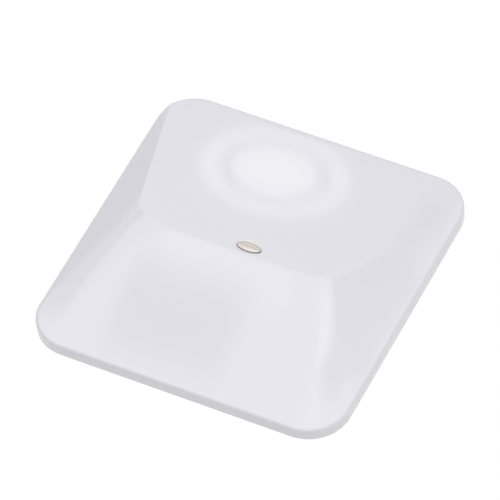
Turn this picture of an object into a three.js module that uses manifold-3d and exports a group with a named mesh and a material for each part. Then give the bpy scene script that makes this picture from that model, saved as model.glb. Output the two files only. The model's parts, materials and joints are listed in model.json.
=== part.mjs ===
// A flush, wall-mounted fire sprinkler head: a square push-fit cover over a mounting plate, and
// a brass body behind it with a flat-fan spray tip, a strainer and an anti-drip valve.
// Millimetres. The wall is the plane z = 0, +Z points into the room, and the spray axis is Z.
import * as THREE from "three";
import { mergeVertices } from "three/addons/utils/BufferGeometryUtils.js";
import Module from "manifold-3d";

const wasm = await Module();
wasm.setup();

// ---- driving dimensions -------------------------------------------------------------------

const gap = 0.3; // left between pieces that touch
const past = 1; // how far a cut runs past the face that it opens
const overlap = 0.2; // between two solids that are joined
const chamfer = 0.8;
const facets = 32; // around a turned piece
const smallFacets = 16; // around a post, a grommet or a small hole

// Cover: a square with a ridge across it, and four faces that fall from the ridge to the rim.
const coverHalf = 43;
const coverCorner = 11;
const coverWall = 1.6;
const coverBase = 0.4;
const rimTop = 4.1;
const rimRound = 0.95;
const ridgeRise = 5.5; // ridge above the rim
const ridgeY = -2.5;
const farFoot = 40.5; // where the far face comes down to the rim's height
const leftSlope = 0.5;
const rightSlope = 0.32;
const nearDish = 0.25; // how hollow the near face is
const ridgeSoftness = 0.03;
const openingX = 3.3; // half-widths of the oval spray opening
const openingY = 2;
const collarWall = 1.2;
const pryNotchWidth = 10; // for a screwdriver, under the far edge
const pryNotchHeight = 1.2;
const pryNotchDepth = 4;
const shortestFarFace = 2; // of a column of the cover's grid

// Mounting plate, gasket and fixings.
const plateHalf = 37;
const plateCorner = 7;
const plateThickness = 1.2;
const gasketThickness = 0.8;
const gasketBand = 5;
const plateBack = gasketThickness + gap;
const plateFront = plateBack + plateThickness;
const screwPitch = 60.3; // standard for an 86 mm wall box
const screwRadius = 1.75;
const screwLength = 25;
const screwRoot = 1.15;
const screwHead = 3.4;
const screwHeadTop = 2.3; // radius of the head's flat top
const screwHeadEdge = 0.7;
const screwHeadHeight = 1.6;
const crossLength = 3;
const crossWidth = 0.7;
const slotLength = 7;
const slotClearance = 0.8;
const postX = 27;
const postY = 20;
const postRadius = 1.5;
const postClearance = 0.2;
const grommetHole = 2.9;
const grommetLip = 1.2;
const grommetBevel = 0.4;

// Nozzle body: a hex flange, a round stem with two flats, and a tapered pipe thread.
const stemRadius = 10;
const stemFlat = 9.2;
const stemEnd = -24;
const inletRadius = 8.33; // 3/8 inch pipe thread
const inletEnd = -38;
const inletChamfer = 1.2;
const flangeAcrossFlats = 26;
const flangeGasketThickness = 0.5;
const flangeGasketRadius = 12.4;
const flangeBack = plateFront + flangeGasketThickness + 2 * gap;
const flangeThickness = 1.5;
const flangeFront = flangeBack + flangeThickness;
const socketRadius = 6.2;
const socketFloor = -4.2;
const strainerBore = 4.6;
const webTop = -17;
const webBottom = -18.6;
const portCount = 6;
const portRadius = 0.8;
const portCircle = 3.3;
const portFacets = 10;
const valveBore = 5;
const lockWasherRadius = 14.4;
const lockWasherThickness = 0.8;
const lockWasherNotches = 12;
const notchWidth = 1.2;
const notchLength = 1.5;
const lockNutAcrossFlats = 27;
const lockNutThickness = 6;
const lockNutBevel = 1.1;
const inletWasherRadius = 11.2;
const inletWasherThickness = 1.2;

// Spray tip.
const tipNeck = 3;
const tipOval = 2.9;
const tipOvalRatio = 0.45;
const tipOvalStart = 6.5;
const nutHeadFront = 5.9;
const tipTop = 9.5;
const domeHeight = 0.6;
const tipFlange = 5.6;
const tipFlangeBack = -2.6;
const tipFlangeFront = -0.8;
const tipBore = 1;
const grooveDepth = 0.6;
const grooveHalfWidth = 0.25;
const orificeX = 0.75;
const orificeY = 0.35;
const tipNutAcrossFlats = 14;
const threadClearance = 0.2;
const tipRingRadius = 4.5;
const tipRingSection = 0.5;

// Flow disc and strainer.
const discHole = 0.8;
const discThickness = 1.2;
const strainerRingBore = 2.6;
const strainerRingThickness = 1;
const strainerRadius = 3.6;
const strainerWall = 0.7;
const strainerLength = 7;
const strainerFloor = 0.8;
const strainerSlots = 4; // each cuts both sides
const strainerSlotWidth = 0.9;

// Anti-drip valve, closed.
const poppetRadius = 3.6;
const poppetBack = -26.6;
const poppetFront = -24.8;
const poppetStem = 1.5;
const stemClearance = 0.2;
const poppetStemTop = -16.4;
const poppetTail = 1;
const springRadius = 2.55;
const springWire = 0.35;
const springTurns = 5;
const sealThickness = 0.6;
const sealInset = 0.2;
const seatFront = poppetBack - sealThickness - 2 * gap;
const seatBack = -33;
const seatBore = 2;
const seatLip = 2.5;
const seatLipFoot = 2.8;
const seatGrooveBack = -31.3;
const seatGrooveFront = -30.1;
const seatGrooveDepth = 0.9;
const seatRingRadius = 4.45;
const seatRingSection = 0.4;
const ringThickness = 0.8;
const ringGrooveDepth = 0.6;
const ringReach = 0.4; // of the retaining ring into its groove
const ringWidth = 1.6;
const ringOpening = 4;

// ---- finishes -----------------------------------------------------------------------------

const finish = (color, roughness, metalness) =>
  new THREE.MeshStandardMaterial({ color, roughness, metalness });

const whitePlastic = finish("#e9e8ee", 0.25, 0);
const zincSteel = finish("#b9bec4", 0.4, 0.9);
const brass = finish("#b5934f", 0.35, 0.9);
const nickel = finish("#d6cec0", 0.25, 0.9);
const stainless = finish("#c4c6c8", 0.3, 0.9);
const rubber = finish("#242426", 0.8, 0);
const foam = finish("#3a3b3d", 0.95, 0);
const fibre = finish("#a8442f", 0.8, 0);
const acetal = finish("#2d4f7c", 0.45, 0);

// ---- solids -------------------------------------------------------------------------------

function solid(geometry) {
  const bare = new THREE.BufferGeometry();
  bare.setAttribute("position", geometry.getAttribute("position"));
  bare.setIndex(geometry.getIndex());
  const merged = mergeVertices(bare, 1e-4);
  return new wasm.Manifold(
    new wasm.Mesh({
      numProp: 3,
      vertProperties: merged.getAttribute("position").array,
      triVerts: new Uint32Array(merged.getIndex().array),
    }),
  );
}

function geometryOf(body) {
  const mesh = body.getMesh();
  const geometry = new THREE.BufferGeometry();
  geometry.setAttribute("position", new THREE.BufferAttribute(mesh.vertProperties, 3));
  geometry.setIndex(new THREE.BufferAttribute(mesh.triVerts, 1));
  return geometry;
}

// A turned piece about Z from a closed outline of [radius, z] points.
function turned(outline, segments = facets) {
  const points = [...outline, outline[0]].map(([r, z]) => new THREE.Vector2(r, z));
  return solid(new THREE.LatheGeometry(points, segments).rotateX(Math.PI / 2));
}

const ring = (inner, outer, z0, z1) =>
  turned([
    [inner, z0],
    [outer, z0],
    [outer, z1],
    [inner, z1],
  ]);

const disc = (radius, z0, z1, segments = facets) =>
  turned(
    [
      [0, z0],
      [radius, z0],
      [radius, z1],
      [0, z1],
    ],
    segments,
  );

const torus = (radius, section, z) =>
  solid(new THREE.TorusGeometry(radius, section, 10, facets)).translate([0, 0, z]);

function prism(shape, z0, z1, curveSegments = 10) {
  const settings = { depth: z1 - z0, bevelEnabled: false, curveSegments };
  return solid(new THREE.ExtrudeGeometry(shape, settings)).translate([0, 0, z0]);
}

const block = (x, y, z0, z1) =>
  solid(new THREE.BoxGeometry(x, y, z1 - z0)).translate([0, 0, (z0 + z1) / 2]);

const joined = (bodies) => bodies.reduce((a, b) => a.add(b));

// ---- outlines -----------------------------------------------------------------------------

function roundedSquare(half, radius) {
  const shape = new THREE.Shape();
  const c = half - radius;
  shape.absarc(c, c, radius, 0, Math.PI / 2);
  shape.absarc(-c, c, radius, Math.PI / 2, Math.PI);
  shape.absarc(-c, -c, radius, Math.PI, 1.5 * Math.PI);
  shape.absarc(c, -c, radius, 1.5 * Math.PI, 2 * Math.PI);
  return shape;
}

function hexagon(acrossFlats) {
  const radius = acrossFlats / Math.sqrt(3);
  const corner = (i) =>
    new THREE.Vector2(
      radius * Math.cos((i * Math.PI) / 3),
      radius * Math.sin((i * Math.PI) / 3),
    );
  return new THREE.Shape([0, 1, 2, 3, 4, 5].map(corner));
}

// A circle with two flats, facing +X and -X.
function flattedCircle(radius, flat) {
  const start = Math.acos(flat / radius);
  const shape = new THREE.Shape();
  shape.absarc(0, 0, radius, start, Math.PI - start);
  shape.absarc(0, 0, radius, Math.PI + start, 2 * Math.PI - start);
  return shape;
}

function oval(x, y) {
  return new THREE.Shape().absellipse(0, 0, x, y, 0, 2 * Math.PI);
}

function slot(x, length, width) {
  const reach = (length - width) / 2;
  const shape = new THREE.Shape();
  shape.absarc(x, reach, width / 2, 0, Math.PI);
  shape.absarc(x, -reach, width / 2, Math.PI, 2 * Math.PI);
  return shape;
}

// ---- cover --------------------------------------------------------------------------------

const foot = coverHalf - rimRound; // where the faces meet the rim's rounding
const rollRadius = coverCorner - rimRound; // the near face rolls into the sides at this radius

// How far in from its foot the near face reaches a height.
function nearRun(height) {
  const straight = 1 - nearDish;
  const share = height / ridgeRise;
  const along = (Math.sqrt(straight ** 2 + 4 * nearDish * share) - straight) / (2 * nearDish);
  return along * (ridgeY + foot);
}

// Whether a point lies outside the level line of the near and side faces at a height. The line
// has straight sides and the same corner radius at every height.
function beyondLevel(x, y, height) {
  const front = nearRun(height) - foot + rollRadius - y;
  const left = height / leftSlope - foot + rollRadius - x;
  const right = height / rightSlope - foot + rollRadius + x;
  const side = Math.max(left, right);
  const away = side > 0 && front > 0 ? Math.hypot(side, front) : Math.max(side, front);
  return away > rollRadius;
}

function halving(low, high, isBelow) {
  for (let step = 0; step < 30; step++) {
    const middle = (low + high) / 2;
    if (isBelow(middle)) low = middle;
    else high = middle;
  }
  return low;
}

const frontAndSides = (x, y) => halving(0, 30, (height) => !beyondLevel(x, y, height));

const farFace = (y) => (ridgeRise * (farFoot - y)) / (farFoot - ridgeY);

// Height of the cover's outside above its rim: the far face meets the others at a crisp edge.
function coverHeight(x, y) {
  const a = farFace(y) / ridgeSoftness;
  const b = frontAndSides(x, y) / ridgeSoftness;
  const low = Math.min(a, b);
  return ridgeSoftness * (low - Math.log(Math.exp(low - a) + Math.exp(low - b)));
}

// Where the crisp edge crosses a line of constant x.
function edgeAt(x, farthest) {
  const edge = halving(-foot, foot, (y) => frontAndSides(x, y) < farFace(y));
  return Math.min(edge, farthest);
}

function columnsAcross(half, radius, straight, corner) {
  const inner = half - radius;
  const right = [];
  for (let i = 1; i <= corner; i++) {
    right.push(inner + radius * Math.sin((i / corner) * (Math.PI / 2)));
  }
  const middle = [];
  for (let i = 0; i <= straight; i++) middle.push(inner * ((2 * i) / straight - 1));
  return [...right.map((x) => -x).reverse(), ...middle, ...right];
}

// A block with the cover's own top, on a rounded square of its own size.
function domedBlock({ half, radius, round, drop, base, straight, corner, near, far, arc }) {
  const flatHalf = half - round;
  const flatRadius = radius - round;
  const inner = flatHalf - flatRadius;
  const xs = columnsAcross(flatHalf, flatRadius, straight, corner);
  const rows = near + far;
  const vertices = [];
  const triangles = [];
  const height = (x, y) => rimTop + coverHeight(x, y) - drop;
  const index = (i, j) => i * (rows + 1) + j;
  for (const x of xs) {
    const over = Math.max(0, Math.abs(x) - inner);
    const reach = inner + Math.sqrt(Math.max(0, flatRadius ** 2 - over ** 2));
    const edge = edgeAt(x, reach - shortestFarFace);
    for (let j = 0; j <= rows; j++) {
      const t = j <= near ? j / near : (j - near) / far;
      const y = j <= near ? -reach + t * (edge + reach) : edge + t * (reach - edge);
      vertices.push([x, y, height(x, y)]);
    }
  }
  const last = xs.length - 1;
  for (let i = 0; i < last; i++) {
    for (let j = 0; j < rows; j++) {
      const [a, b, c, d] = [index(i, j), index(i + 1, j), index(i + 1, j + 1), index(i, j + 1)];
      triangles.push([a, b, c], [a, c, d]);
    }
  }
  // The rim: the top's border, carried round the edge and down to the base.
  let loop = [];
  for (let i = 0; i < last; i++) loop.push(index(i, 0));
  for (let j = 0; j < rows; j++) loop.push(index(last, j));
  for (let i = last; i > 0; i--) loop.push(index(i, rows));
  for (let j = rows; j > 0; j--) loop.push(index(0, j));
  const border = loop.map((v) => vertices[v]);
  const clamp = (v) => Math.min(Math.max(v, -inner), inner);
  const addLoop = (out, heightOf) => {
    const next = border.map(([x, y, z]) => {
      const away = new THREE.Vector2(x - clamp(x), y - clamp(y)).setLength(out);
      vertices.push([x + away.x, y + away.y, heightOf(z)]);
      return vertices.length - 1;
    });
    loop.forEach((v, k) => {
      const m = (k + 1) % loop.length;
      triangles.push([v, next[k], next[m]], [v, next[m], loop[m]]);
    });
    loop = next;
  };
  for (let k = 1; k <= arc; k++) {
    const turn = (k / arc) * (Math.PI / 2);
    addLoop(round * Math.sin(turn), (z) => z - round * (1 - Math.cos(turn)));
  }
  addLoop(round, () => base);
  const centre = vertices.push([0, 0, base]) - 1;
  loop.forEach((v, k) => triangles.push([v, centre, loop[(k + 1) % loop.length]]));
  const geometry = new THREE.BufferGeometry();
  const positions = new Float32Array(vertices.flat());
  geometry.setAttribute("position", new THREE.BufferAttribute(positions, 3));
  geometry.setIndex(triangles.flat());
  return solid(geometry);
}

function faceCover() {
  const outside = domedBlock({
    half: coverHalf,
    radius: coverCorner,
    round: rimRound,
    drop: 0,
    base: coverBase,
    straight: 26,
    corner: 5,
    near: 14,
    far: 10,
    arc: 3,
  });
  const inside = domedBlock({
    half: coverHalf - coverWall,
    radius: coverCorner - coverWall,
    round: 0.6,
    drop: coverWall,
    base: coverBase - past,
    straight: 12,
    corner: 3,
    near: 6,
    far: 5,
    arc: 1,
  });
  const crest = rimTop + ridgeRise;
  const ovalFacets = 12; // in each quarter
  const opening = prism(oval(openingX, openingY), tipOvalStart - past, crest + past, ovalFacets);
  const collarOval = oval(openingX + collarWall, openingY + collarWall);
  const collar = prism(collarOval, tipOvalStart + gap, crest - coverWall, ovalFacets);
  const posts = eachCorner((x, y) => {
    const top = rimTop + coverHeight(x, y) - coverWall / 2;
    return disc(postRadius, plateBack - gap, top, smallFacets).translate([x, y, 0]);
  });
  const notchTop = coverBase + pryNotchHeight;
  const pryNotch = block(pryNotchWidth, pryNotchDepth, coverBase - past, notchTop);
  return joined([outside.subtract(inside), collar, ...posts])
    .subtract(opening)
    .subtract(pryNotch.translate([0, coverHalf, 0]));
}

const eachCorner = (make) =>
  [-1, 1].flatMap((sx) => [-1, 1].map((sy) => make(sx * postX, sy * postY)));

// ---- plate and fixings --------------------------------------------------------------------

function mountingPlate() {
  const shape = roundedSquare(plateHalf, plateCorner);
  shape.holes.push(flattedCircle(stemRadius + gap, stemFlat + gap));
  const slotWidth = 2 * screwRadius + slotClearance;
  shape.holes.push(slot(screwPitch / 2, slotLength, slotWidth));
  shape.holes.push(slot(-screwPitch / 2, slotLength, slotWidth));
  const holes = eachCorner((x, y) =>
    disc(grommetHole, plateBack - past, plateFront + past, smallFacets).translate([x, y, 0]),
  );
  const plate = prism(shape, plateBack, plateFront, 6);
  return holes.reduce((a, hole) => a.subtract(hole), plate);
}

function wallGasket() {
  const shape = roundedSquare(plateHalf, plateCorner);
  shape.holes.push(roundedSquare(plateHalf - gasketBand, plateCorner - gasketBand / 2));
  return prism(shape, 0, gasketThickness, 6);
}

// A rubber bush that grips one of the cover's posts.
function grommet() {
  const bore = postRadius + postClearance;
  const neck = grommetHole - gap;
  const lip = neck + grommetLip;
  const top = plateFront + grommetLip;
  return turned(
    [
      [bore, gap],
      [lip, gap],
      [lip, gasketThickness],
      [neck, gasketThickness],
      [neck, plateFront + gap],
      [lip, plateFront + gap],
      [lip - grommetBevel, top],
      [bore, top],
    ],
    smallFacets,
  );
}

function fixingScrew() {
  const seat = plateFront + gap;
  const top = seat + screwHeadHeight;
  const tip = seat - screwLength;
  const body = turned(
    [
      [0, tip],
      [screwRoot, tip],
      [screwRadius, tip + chamfer],
      [screwRadius, seat],
      [screwHead, seat],
      [screwHead, seat + screwHeadEdge],
      [screwHeadTop, top],
      [0, top],
    ],
    24,
  );
  const recessDepth = 1;
  const along = block(crossLength, crossWidth, top - recessDepth, top + past);
  const across = block(crossWidth, crossLength, top - recessDepth, top + past);
  return body.subtract(along.add(across));
}

// ---- nozzle body --------------------------------------------------------------------------

const springStart = poppetFront + springWire + gap;
const springEnd = webBottom - springWire - gap;
const ringGroove = valveBore + ringGrooveDepth;
const ringBack = seatBack - gap - ringThickness;

function nozzleBody() {
  const stem = turned([
    [0, inletEnd],
    [inletRadius - chamfer, inletEnd],
    [inletRadius, inletEnd + inletChamfer],
    [inletRadius, stemEnd],
    [stemRadius - chamfer, stemEnd],
    [stemRadius, stemEnd + chamfer],
    [stemRadius, flangeBack + overlap],
    [0, flangeBack + overlap],
  ]);
  const cutDepth = 4;
  const sideCut = (side) =>
    block(cutDepth, 3 * stemRadius, stemEnd - overlap, flangeBack).translate([
      side * (stemFlat + cutDepth / 2),
      0,
      0,
    ]);
  const flange = prism(hexagon(flangeAcrossFlats), flangeBack, flangeFront);
  const cavity = turned([
    [0, inletEnd - past],
    [valveBore, inletEnd - past],
    [valveBore, ringBack - gap],
    [ringGroove, ringBack - gap],
    [ringGroove, seatBack],
    [valveBore, seatBack],
    [valveBore, webBottom],
    [0, webBottom],
  ]);
  const socket = turned([
    [0, webTop],
    [strainerBore, webTop],
    [strainerBore, socketFloor],
    [socketRadius, socketFloor],
    [socketRadius, flangeFront + past],
    [0, flangeFront + past],
  ]);
  const guide = disc(poppetStem + stemClearance, webBottom - past, webTop + past, smallFacets);
  const ports = Array.from({ length: portCount }, (_, i) =>
    disc(portRadius, webBottom - past, webTop + past, portFacets)
      .translate([portCircle, 0, 0])
      .rotate([0, 0, (i * 360) / portCount]),
  );
  const cuts = [sideCut(1), sideCut(-1), cavity, socket, guide, ...ports];
  return cuts.reduce((a, cut) => a.subtract(cut), stem.add(flange));
}

const flangeGasket = () =>
  ring(
    stemRadius + gap,
    flangeGasketRadius,
    plateFront + gap,
    plateFront + gap + flangeGasketThickness,
  );

// A washer toothed round its outside, which stops the lock nut from slackening.
function lockWasher() {
  const front = plateBack - gap;
  const back = front - lockWasherThickness;
  const notches = Array.from({ length: lockWasherNotches }, (_, i) =>
    block(2 * notchLength, notchWidth, back - past, front + past)
      .translate([lockWasherRadius + gap, 0, 0])
      .rotate([0, 0, (i * 360) / lockWasherNotches]),
  );
  const blank = ring(stemRadius + gap, lockWasherRadius, back, front);
  return notches.reduce((a, notch) => a.subtract(notch), blank);
}

function lockNut() {
  const front = plateBack - 2 * gap - lockWasherThickness;
  const back = front - lockNutThickness;
  const bore = disc(stemRadius + gap, back - past, front + past);
  const face = lockNutAcrossFlats / 2; // radius of the round face inside the bevelled corners
  const corner = lockNutAcrossFlats / Math.sqrt(3);
  const bevelled = turned([
    [0, back],
    [face, back],
    [corner, back + lockNutBevel],
    [corner, front - lockNutBevel],
    [face, front],
    [0, front],
  ]);
  return prism(hexagon(lockNutAcrossFlats), back, front).intersect(bevelled).subtract(bore);
}

function inletWasher() {
  const front = stemEnd - gap;
  return ring(inletRadius + gap, inletWasherRadius, front - inletWasherThickness, front);
}

// ---- spray tip and what is behind it ------------------------------------------------------

function sprayTip() {
  const neck = turned([
    [0, tipFlangeBack],
    [tipFlange, tipFlangeBack],
    [tipFlange, tipFlangeFront],
    [tipNeck, tipFlangeFront],
    [tipNeck, tipOvalStart],
    [0, tipOvalStart],
  ]);
  const domeBase = tipTop - domeHeight;
  const nose = [
    [0, tipOvalStart - overlap],
    [tipOval, tipOvalStart - overlap],
  ];
  const domeSteps = 6;
  for (let k = 0; k <= domeSteps; k++) {
    const turn = (k / domeSteps) * (Math.PI / 2);
    nose.push([tipOval * Math.cos(turn), domeBase + domeHeight * Math.sin(turn)]);
  }
  const dome = turned(nose).scale([1, tipOvalRatio, 1]);
  const vee = new THREE.Shape([
    new THREE.Vector2(0, tipTop - grooveDepth),
    new THREE.Vector2(1.5 * grooveHalfWidth, tipTop + 0.5 * grooveDepth),
    new THREE.Vector2(-1.5 * grooveHalfWidth, tipTop + 0.5 * grooveDepth),
  ]);
  const grooveLength = 4 * tipOval;
  const groove = prism(vee, -grooveLength / 2, grooveLength / 2).rotate([90, 0, 90]);
  const boreEnd = tipTop - 2 * grooveDepth;
  const bore = disc(tipBore, tipFlangeBack - past, boreEnd, smallFacets);
  const orifice = disc(1, boreEnd - overlap, tipTop, smallFacets).scale([orificeX, orificeY, 1]);
  return joined([neck, dome]).subtract(groove).subtract(bore).subtract(orifice);
}

function tipNut() {
  const headBack = flangeFront + gap;
  const thread = disc(socketRadius - threadClearance, tipFlangeFront + gap, headBack + overlap);
  const hex = prism(hexagon(tipNutAcrossFlats), headBack, nutHeadFront);
  const bore = disc(tipNeck + gap, tipFlangeFront - past, nutHeadFront + past);
  return thread.add(hex).subtract(bore);
}

const tipORing = () =>
  torus(tipRingRadius, tipRingSection, tipFlangeBack - gap - tipRingSection);

const discFront = socketFloor - gap;
const discBack = discFront - discThickness;
const flowDisc = () => ring(discHole, strainerBore - gap, discBack, discFront);

const collarFront = discBack - gap;
const collarBack = collarFront - strainerRingThickness;
const strainerRing = () =>
  ring(strainerRingBore, strainerBore - gap, collarBack, collarFront);

// A slotted basket, closed at the bottom.
function strainer() {
  const top = collarBack - gap;
  const bottom = top - strainerLength;
  const inner = strainerRadius - strainerWall;
  const basket = turned([
    [0, bottom],
    [strainerRadius, bottom],
    [strainerRadius, top],
    [inner, top],
    [inner, bottom + strainerFloor],
    [0, bottom + strainerFloor],
  ]);
  const slotBottom = bottom + 2 * strainerFloor;
  const slotTop = top - strainerFloor - gap;
  const cuts = Array.from({ length: strainerSlots }, (_, i) =>
    block(3 * strainerRadius, strainerSlotWidth, slotBottom, slotTop).rotate([
      0,
      0,
      (i * 180) / strainerSlots,
    ]),
  );
  return cuts.reduce((a, cut) => a.subtract(cut), basket);
}

// ---- anti-drip valve ----------------------------------------------------------------------

const checkPoppet = () =>
  turned([
    [0, poppetBack - sealThickness - gap],
    [poppetTail, poppetBack - sealThickness - gap],
    [poppetTail, poppetBack],
    [poppetRadius, poppetBack],
    [poppetRadius, poppetFront],
    [poppetStem, poppetFront],
    [poppetStem, poppetStemTop],
    [0, poppetStemTop],
  ]);

const poppetSeal = () =>
  ring(poppetTail + gap, poppetRadius - sealInset, poppetBack - gap - sealThickness, poppetBack - gap);

class Helix extends THREE.Curve {
  getPoint(t, target = new THREE.Vector3()) {
    const turn = 2 * Math.PI * springTurns * t;
    const z = springStart + t * (springEnd - springStart);
    return target.set(springRadius * Math.cos(turn), springRadius * Math.sin(turn), z);
  }
}

function checkSpring() {
  const wire = new THREE.Shape().absarc(0, 0, springWire, 0, 2 * Math.PI);
  const stepsInTurn = 14;
  const settings = {
    steps: springTurns * stepsInTurn,
    extrudePath: new Helix(),
    curveSegments: 3,
  };
  return solid(new THREE.ExtrudeGeometry(wire, settings));
}

// The seat screws in from behind: a raised lip in front, a groove for its O-ring outside.
function valveSeat() {
  const outer = valveBore - threadClearance;
  const grooved = outer - seatGrooveDepth;
  const lipBack = seatFront - chamfer;
  return turned([
    [seatBore, seatBack],
    [outer, seatBack],
    [outer, seatGrooveBack],
    [grooved, seatGrooveBack],
    [grooved, seatGrooveFront],
    [outer, seatGrooveFront],
    [outer, lipBack],
    [seatLipFoot, lipBack],
    [seatLip, seatFront],
    [seatBore, seatFront],
  ]);
}

const seatORing = () =>
  torus(seatRingRadius, seatRingSection, (seatGrooveBack + seatGrooveFront) / 2);

function retainingRing() {
  const outer = valveBore + ringReach;
  const ringFront = ringBack + ringThickness;
  const whole = ring(outer - ringWidth, outer, ringBack, ringFront);
  const opening = block(ringOpening, ringOpening, ringBack - past, ringFront + past);
  return whole.subtract(opening.translate([0, valveBore, 0]));
}

// ---- assembly -----------------------------------------------------------------------------

const head = new THREE.Group();

function place(name, body, material, x = 0, y = 0) {
  const mesh = new THREE.Mesh(geometryOf(body), material);
  mesh.name = name;
  mesh.position.set(x, y, 0);
  head.add(mesh);
}

place("face_cover", faceCover(), whitePlastic);
place("mounting_plate", mountingPlate(), zincSteel);
place("wall_gasket", wallGasket(), foam);

for (const [row, y] of Object.entries({ lower: -postY, upper: postY })) {
  place(`grommet_${row}_left`, grommet(), rubber, -postX, y);
  place(`grommet_${row}_right`, grommet(), rubber, postX, y);
}

for (const [side, x] of Object.entries({ left: -screwPitch / 2, right: screwPitch / 2 })) {
  place(`fixing_screw_${side}`, fixingScrew(), zincSteel, x);
}

place("nozzle_body", nozzleBody(), brass);
place("flange_gasket", flangeGasket(), fibre);
place("lock_washer", lockWasher(), stainless);
place("lock_nut", lockNut(), brass);
place("inlet_washer", inletWasher(), fibre);
place("spray_tip", sprayTip(), nickel);
place("tip_nut", tipNut(), brass);
place("tip_o_ring", tipORing(), rubber);
place("flow_disc", flowDisc(), stainless);
place("strainer_ring", strainerRing(), acetal);
place("strainer", strainer(), stainless);
place("check_poppet", checkPoppet(), acetal);
place("poppet_seal", poppetSeal(), rubber);
place("check_spring", checkSpring(), stainless);
place("valve_seat", valveSeat(), brass);
place("seat_o_ring", seatORing(), rubber);
place("retaining_ring", retainingRing(), stainless);

export default head;
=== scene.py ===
# %% [markdown]
# # A flush, wall-mounted fire sprinkler head
# A fine-spray head for a wall: a white push-fit cover on a square mounting plate, and a brass
# body behind it that carries the spray tip, a strainer and an anti-drip valve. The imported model
# gives the frame: every piece's place, the moving bodies and their joints. This lesson builds
# the surfaces that are seen, and the finishes, around that frame.

# %% Load the frame
import json
import math

import bpy
import numpy as np
from mathutils import Matrix, Vector

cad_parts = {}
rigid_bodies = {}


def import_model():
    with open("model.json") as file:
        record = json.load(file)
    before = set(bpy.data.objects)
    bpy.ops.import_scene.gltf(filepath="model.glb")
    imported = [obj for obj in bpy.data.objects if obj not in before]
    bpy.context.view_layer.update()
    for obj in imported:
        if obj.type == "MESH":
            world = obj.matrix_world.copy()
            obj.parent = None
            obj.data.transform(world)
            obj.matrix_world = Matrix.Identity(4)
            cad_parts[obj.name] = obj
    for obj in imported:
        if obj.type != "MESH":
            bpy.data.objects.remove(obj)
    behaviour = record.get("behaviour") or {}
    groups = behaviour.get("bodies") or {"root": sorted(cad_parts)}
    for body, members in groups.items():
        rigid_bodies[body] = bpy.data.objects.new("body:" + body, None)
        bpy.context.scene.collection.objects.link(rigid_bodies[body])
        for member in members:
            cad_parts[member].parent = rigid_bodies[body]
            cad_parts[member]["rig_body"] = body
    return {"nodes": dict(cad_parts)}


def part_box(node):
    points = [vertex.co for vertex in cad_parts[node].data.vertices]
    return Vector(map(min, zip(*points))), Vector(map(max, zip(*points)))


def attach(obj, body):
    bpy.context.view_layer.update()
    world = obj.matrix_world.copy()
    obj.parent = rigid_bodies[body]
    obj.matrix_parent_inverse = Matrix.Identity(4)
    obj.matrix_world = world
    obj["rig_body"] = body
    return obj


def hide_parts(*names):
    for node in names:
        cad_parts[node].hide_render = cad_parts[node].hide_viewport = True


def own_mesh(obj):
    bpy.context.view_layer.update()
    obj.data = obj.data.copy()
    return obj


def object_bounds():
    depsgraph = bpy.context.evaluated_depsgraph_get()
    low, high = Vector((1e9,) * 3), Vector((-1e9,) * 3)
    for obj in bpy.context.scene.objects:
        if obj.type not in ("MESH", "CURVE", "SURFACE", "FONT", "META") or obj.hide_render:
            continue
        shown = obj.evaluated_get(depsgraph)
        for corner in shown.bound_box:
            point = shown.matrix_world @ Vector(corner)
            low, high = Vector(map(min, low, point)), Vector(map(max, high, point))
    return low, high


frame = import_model()
cad_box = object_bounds()

# %% [markdown]
# ## Millimetres in, metres out
# The maker's drawing is in millimetres, and Blender's frame is in metres, so sizes are written
# in millimetres and scaled once, when a mesh is made. `box_of` reads a node's place in the same
# millimetres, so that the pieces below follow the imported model.

# %% Units
mm = 0.001


def box_of(node):
    low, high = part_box(node)
    return np.array(low) / mm, np.array(high) / mm


cover_low, cover_high = box_of("face_cover")
print("cover, mm:", cover_low.round(2), cover_high.round(2))

# %% [markdown]
# ## A shell made of loops
# Most pieces here are skins that run from the middle of the top, outwards, down round the edge
# and back underneath. A modifier stack could round a block off, but loops placed by formula give
# the exact slopes, and every quad then follows the form. `band` joins two loops of equal length,
# and always in that running order, so that all faces look outwards.

# %% The shell
smooth_angle = math.radians(32)
print("edges stay crisp above", round(math.degrees(smooth_angle)), "degrees")


def placed(name, data):
    """Makes an object and puts it in the scene."""
    made = bpy.data.objects.new(name, data)
    bpy.context.scene.collection.objects.link(made)
    return made


class Shell:
    """Points in millimetres and the faces between them, gathered into one mesh."""

    def __init__(self):
        self.points = []
        self.faces = []

    def add(self, points):
        start = len(self.points)
        self.points.extend(tuple(map(float, p)) for p in points)
        return np.arange(start, len(self.points))

    def band(self, first, second):
        for k in range(len(first)):
            m = (k + 1) % len(first)
            self.faces.append((first[k], second[k], second[m], first[m]))

    def extend(self, loop, points):
        """Adds a loop, joins it to the one before with a band, and returns it."""
        made = self.add(points)
        self.band(loop, made)
        return made

    def stack(self, loops):
        """A band between each loop and the next, and a cap on both ends."""
        for first, second in zip(loops, loops[1:]):
            self.band(first, second)
        self.faces.append(tuple(loops[0]))
        self.faces.append(tuple(loops[-1][::-1]))

    def xy(self, loop):
        return np.array([self.points[k][:2] for k in loop])

    def make(self, name, body, slot, finish, *stands_for):
        mesh = bpy.data.meshes.new(name)
        points = np.array(self.points) * mm
        faces = [tuple(map(int, f)) for f in self.faces]
        mesh.from_pydata(points.tolist(), [], faces)
        mesh.validate()
        mesh.shade_smooth()
        mesh.set_sharp_from_angle(angle=smooth_angle)
        mesh.materials.append(finish)
        piece = placed(name, mesh)
        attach(piece, body)
        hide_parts(*stands_for)
        print(name, "has", len(mesh.polygons), "faces")
        return piece


# %% [markdown]
# ## Finishes from expressions
# A finish is a small sum: a colour, plus a little cloudiness, and a roughness that wanders. The
# shader editor draws such a sum as boxes and wires. Here a class wraps a socket and overloads
# the arithmetic, so that the sum is written as a sum, and one method, `node`, adds every node.

# %% The shader wrapper


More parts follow.
